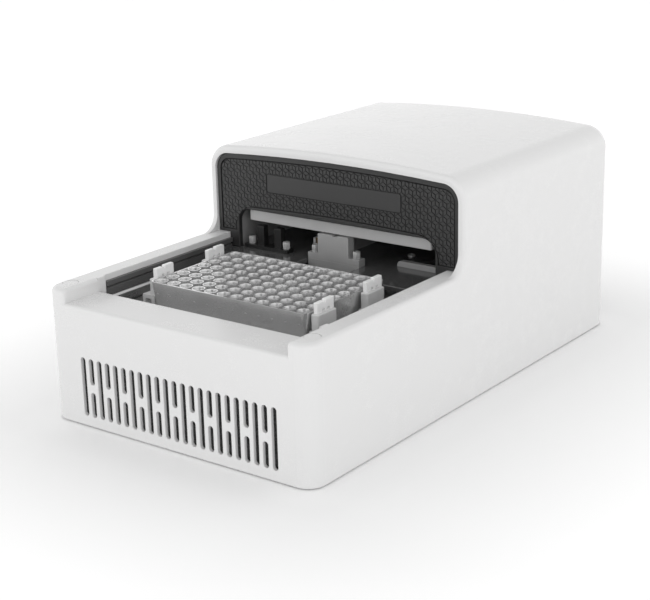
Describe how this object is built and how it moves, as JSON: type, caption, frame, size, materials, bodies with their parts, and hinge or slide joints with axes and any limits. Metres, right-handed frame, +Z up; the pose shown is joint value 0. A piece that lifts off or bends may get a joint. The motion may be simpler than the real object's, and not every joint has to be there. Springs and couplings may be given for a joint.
{
  "type": "thermal cycler",
  "caption": "Automated thermal cycler with an open loading bay, well block, sprung plate lifters, motor-driven sliding heated lid under a rounded hood, and a vented front.",
  "frame": {"origin": "on the bench, under the centre of the object's bounding box", "axes": "+X the object's right side, +Y towards its back (the long direction), +Z up"},
  "size_m": [0.182, 0.316, 0.1335],
  "materials": {
    "housing_white": "fine satin moulding",
    "fascia_grey": "satin dark grey",
    "fascia_textured": "raised cube pattern, dark grey",
    "base_metal": "powder coat",
    "foot_rubber": "soft black",
    "filter_foam": "open-cell foam",
    "tray_black": "satin black",
    "liner_grey": "satin",
    "rail_aluminium": "brushed",
    "block_grey": "matt anodised",
    "ceramic_white": "ceramic plates",
    "sink_aluminium": "extruded",
    "deck_black": "glossy black",
    "standoff_steel": "turned",
    "ledge_light": "satin light grey",
    "sensor_black": "black moulding",
    "dock_grey": "bead blasted",
    "screw_steel": "bright",
    "lid_grey": "bead blasted",
    "platen_aluminium": "machined",
    "bronze": "sintered bronze",
    "belt_rubber": "toothed belt",
    "motor_black": "black body",
    "fan_black": "glass filled",
    "guard_chrome": "wire",
    "panel_grey": "satin grey",
    "screw_black": "blackened",
    "module_black": "black moulding",
    "rocker_black": "gloss",
    "port_metal": "nickel plated",
    "board_green": "solder mask",
    "cap_white": "white moulding",
    "post_grey": "satin grey",
    "spring_steel": "music wire"
  },
  "bodies": {
    "base": {"air_filter": "filter_foam", "base_plate": "base_metal", "bay_liners": "liner_grey", "bay_tray": "tray_black", "control_board": "board_green", "corner_plugs": "housing_white", "data_ports": "port_metal", "deck_ledge": "ledge_light", "deck_plate": "deck_black", "deck_screws": "screw_steel", "deck_standoffs": "standoff_steel", "dock_block": "dock_grey", "dock_bracket": "dock_grey", "drive_belt": "belt_rubber", "drive_motor": "motor_black", "drive_trough": "ledge_light", "exhaust_fan_frame": "fan_black", "fan_guard": "guard_chrome", "fascia_frame": "fascia_grey", "fascia_panel": "fascia_textured", "heat_sink": "sink_aluminium", "housing_cover": "housing_white", "intake_fan_frames": "fan_black", "lid_rails": "rail_aluminium", "lifter_post_front_left": "post_grey", "lifter_post_front_right": "post_grey", "lifter_post_rear_left": "post_grey", "lifter_post_rear_right": "post_grey", "lifter_spring_front_left": "spring_steel", "lifter_spring_front_right": "spring_steel", "lifter_spring_rear_left": "spring_steel", "lifter_spring_rear_right": "spring_steel", "motor_bracket": "base_metal", "peltier_modules": "ceramic_white", "power_module": "module_black", "power_supply": "sink_aluminium", "rear_panel": "panel_grey", "rear_screws": "screw_black", "rubber_feet": "foot_rubber", "sample_block": "block_grey", "screw_bearings": "bronze", "sensor_bracket": "sensor_black", "side_plates": "ledge_light", "side_rails": "rail_aluminium", "tunnel_liner": "tray_black"},
    "lid": {"lid_carriage": "lid_grey", "platen_pins": "screw_steel", "drive_nut": "bronze"},
    "platen": {"heated_platen": "platen_aluminium"},
    "screw": {"lead_screw": "screw_steel", "screw_pulley": "sink_aluminium"},
    "motor_rotor": {"motor_pulley": "sink_aluminium"},
    "rocker": {"power_rocker": "rocker_black"},
    "fan_left": {"intake_fan_rotor_left": "fan_black"},
    "fan_right": {"intake_fan_rotor_right": "fan_black"},
    "fan_exhaust": {"exhaust_fan_rotor": "fan_black"},
    "cap_front_left": {"lifter_cap_front_left": "cap_white"},
    "cap_front_right": {"lifter_cap_front_right": "cap_white"},
    "cap_rear_left": {"lifter_cap_rear_left": "cap_white"},
    "cap_rear_right": {"lifter_cap_rear_right": "cap_white"}
  },
  "joints": [
    {"name": "lid_slide", "type": "slide", "parent": "base", "child": "lid", "axis": [0, -1, 0], "range_m": [0, 0.11]},
    {"name": "platen_press", "type": "slide", "parent": "lid", "child": "platen", "axis": [0, 0, -1], "range_m": [0, 0.006]},
    {"name": "screw_spin", "type": "hinge", "parent": "base", "child": "screw", "pos_m": [-0.0141, 0, 0.0723], "axis": [0, 1, 0], "continuous": true},
    {"name": "motor_spin", "type": "hinge", "parent": "base", "child": "motor_rotor", "pos_m": [-0.0141, 0.145, 0.048], "axis": [0, 1, 0], "continuous": true},
    {"name": "intake_fan_left_spin", "type": "hinge", "parent": "base", "child": "fan_left", "pos_m": [-0.026, -0.1253, 0.0285], "axis": [0, 1, 0], "continuous": true},
    {"name": "intake_fan_right_spin", "type": "hinge", "parent": "base", "child": "fan_right", "pos_m": [0.026, -0.1253, 0.0285], "axis": [0, 1, 0], "continuous": true},
    {"name": "exhaust_fan_spin", "type": "hinge", "parent": "base", "child": "fan_exhaust", "pos_m": [0.0375, 0.1465, 0.038], "axis": [0, 1, 0], "continuous": true},
    {"name": "power_rocker_tilt", "type": "hinge", "parent": "base", "child": "rocker", "pos_m": [-0.048, 0.1535, 0.055], "axis": [1, 0, 0], "range_deg": [0, 14]},
    {"name": "lifter_front_left", "type": "slide", "parent": "base", "child": "cap_front_left", "axis": [0, 0, -1], "range_m": [0, 0.0045], "stiffness_N_per_m": 300, "springref_m": -0.002, "deforming": ["lifter_spring_front_left"]},
    {"name": "lifter_front_right", "type": "slide", "parent": "base", "child": "cap_front_right", "axis": [0, 0, -1], "range_m": [0, 0.0045], "stiffness_N_per_m": 300, "springref_m": -0.002, "deforming": ["lifter_spring_front_right"]},
    {"name": "lifter_rear_left", "type": "slide", "parent": "base", "child": "cap_rear_left", "axis": [0, 0, -1], "range_m": [0, 0.0045], "stiffness_N_per_m": 300, "springref_m": -0.002, "deforming": ["lifter_spring_rear_left"]},
    {"name": "lifter_rear_right", "type": "slide", "parent": "base", "child": "cap_rear_right", "axis": [0, 0, -1], "range_m": [0, 0.0045], "stiffness_N_per_m": 300, "springref_m": -0.002, "deforming": ["lifter_spring_rear_right"]}
  ],
  "couplings": [
    {"joint": "screw_spin", "follows": "lid_slide", "rad_per_m": 785.4},
    {"joint": "motor_spin", "follows": "lid_slide", "rad_per_m": 785.4}
  ]
}
